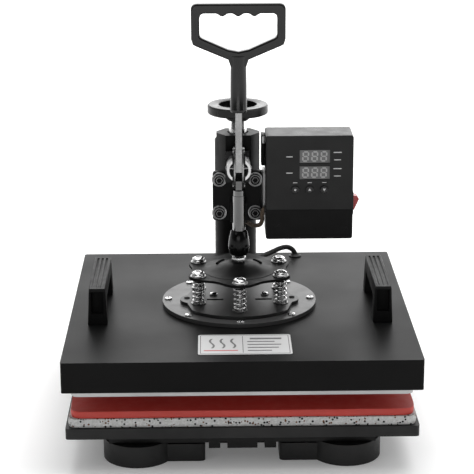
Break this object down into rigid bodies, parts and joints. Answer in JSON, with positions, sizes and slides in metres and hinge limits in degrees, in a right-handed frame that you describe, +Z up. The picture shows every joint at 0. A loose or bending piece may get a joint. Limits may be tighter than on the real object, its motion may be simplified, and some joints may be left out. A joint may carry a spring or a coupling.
{
  "type": "heat press",
  "caption": "Swing-away flat heat press with a push toggle clamp, D-shaped lever, round pressure wheel, padded lower platen and digital control box.",
  "frame": {"origin": "centre of the press's footprint box on the bench, under the rubber feet", "axes": "+Z up; -Y towards the operator, so the control box is at +X; +X is the shortest side of the box"},
  "size_m": [0.4, 0.49, 0.4936],
  "materials": {
    "black_paint": "satin black stoved paint",
    "black_rubber": "matt moulded rubber",
    "cable_jacket": "smooth silicone cable jacket",
    "sponge": "speckled grey foam",
    "silicone": "matt red silicone sheet",
    "chrome": "bright chrome plate",
    "zinc": "bright zinc plate",
    "aluminium": "machined heater plate",
    "black_plastic": "glossy moulded plastic",
    "display": "dark red display filter",
    "circuit_board": "solder-masked board",
    "red_plastic": "translucent red rocker",
    "mineral_wool": "fibrous insulation slab"
  },
  "bodies": {
    "base": {"base_frame": "black_paint", "foot_front_left": "black_rubber", "foot_front_right": "black_rubber", "foot_rear_left": "black_rubber", "foot_rear_right": "black_rubber", "lower_platen": "black_paint", "sponge_pad": "sponge", "silicone_pad": "silicone", "post": "black_paint"},
    "swing_arm": {"thrust_washer": "chrome", "swing_collar": "black_paint", "swing_bush": "black_plastic", "swing_arm": "black_paint", "head_housing": "black_paint"},
    "pressure_wheel": {"pressure_wheel": "black_paint", "pressure_screw": "chrome", "screw_collar": "chrome"},
    "carriage": {"carriage_slide": "zinc", "clamp_plate": "black_paint", "clamp_body": "zinc", "guide_block": "black_paint", "lever_pin": "zinc", "box_bracket": "zinc", "control_box": "black_paint", "box_back_cover": "black_paint", "control_panel": "black_plastic", "upper_display": "display", "lower_display": "display", "circuit_board": "circuit_board", "mains_gland": "black_rubber", "braided_lead": "cable_jacket"},
    "set_button": {"set_button": "black_plastic"},
    "up_button": {"up_button": "black_plastic"},
    "down_button": {"down_button": "black_plastic"},
    "rocker_switch": {"rocker_switch": "red_plastic"},
    "handle": {"lever_bar": "zinc", "handle_grip": "black_plastic"},
    "links": {"link_left": "chrome", "link_right": "chrome"},
    "plunger": {"plunger_rod": "chrome", "coupling_barrel": "black_plastic", "link_pin": "zinc", "pressure_dome": "black_paint", "top_plate": "black_paint", "heater_cable": "cable_jacket"},
    "platen": {"spring_plate": "black_paint", "spring_1": "chrome", "spring_2": "chrome", "spring_3": "chrome", "spring_4": "chrome", "spring_5": "chrome", "spring_6": "chrome", "mount_disc": "black_paint", "platen_cover": "black_paint", "heater_plate": "aluminium", "insulation_slab": "mineral_wool", "side_handle_left": "black_plastic", "side_handle_right": "black_plastic", "cable_gland": "black_rubber"}
  },
  "joints": [
    {"name": "swing", "type": "hinge", "parent": "base", "child": "swing_arm", "pos_m": [0, 0.2, 0.2], "axis": [0, 0, 1], "range_deg": [-180, 180]},
    {"name": "pressure_wheel_spin", "type": "hinge", "parent": "swing_arm", "child": "pressure_wheel", "pos_m": [0, 0.0076, 0.3444], "axis": [0, 0, -1], "range_deg": [-1440, 720]},
    {"name": "carriage_slide", "type": "slide", "parent": "swing_arm", "child": "carriage", "axis": [0, 0, 1], "range_m": [-0.0081, 0.0041]},
    {"name": "handle_pivot", "type": "hinge", "parent": "carriage", "child": "handle", "pos_m": [0, -0.045, 0.29765], "axis": [1, 0, 0], "range_deg": [0, 90]},
    {"name": "plunger_slide", "type": "slide", "parent": "carriage", "child": "plunger", "axis": [0, 0, -1], "range_m": [0, 0.0156], "deforming": ["heater_cable"]},
    {"name": "link_pivot", "type": "hinge", "parent": "plunger", "child": "links", "pos_m": [0, -0.045, 0.27665], "axis": [1, 0, 0], "range_deg": [0, 31]},
    {"name": "platen_float", "type": "slide", "parent": "plunger", "child": "platen", "axis": [0, 0, 1], "range_m": [0, 0.004], "stiffness_N_per_m": 9000, "springref_m": -0.008, "deforming": ["spring_1", "spring_2", "spring_3", "spring_4", "spring_5", "spring_6"]},
    {"name": "set_press", "type": "slide", "parent": "carriage", "child": "set_button", "axis": [0, 1, 0], "range_m": [0, 0.001], "stiffness_N_per_m": 400},
    {"name": "up_press", "type": "slide", "parent": "carriage", "child": "up_button", "axis": [0, 1, 0], "range_m": [0, 0.001], "stiffness_N_per_m": 400},
    {"name": "down_press", "type": "slide", "parent": "carriage", "child": "down_button", "axis": [0, 1, 0], "range_m": [0, 0.001], "stiffness_N_per_m": 400},
    {"name": "rocker_tilt", "type": "hinge", "parent": "carriage", "child": "rocker_switch", "pos_m": [0.1345, -0.03, 0.2515], "axis": [0, -1, 0], "range_deg": [0, 20]}
  ],
  "couplings": [
    {"joint": "carriage_slide", "follows": "pressure_wheel_spin", "m_per_rad": 0.00031831},
    {"joint": "plunger_slide", "follows": "handle_pivot", "m_per_rad": 0.0097868},
    {"joint": "link_pivot", "follows": "handle_pivot", "ratio": 0.33333}
  ]
}
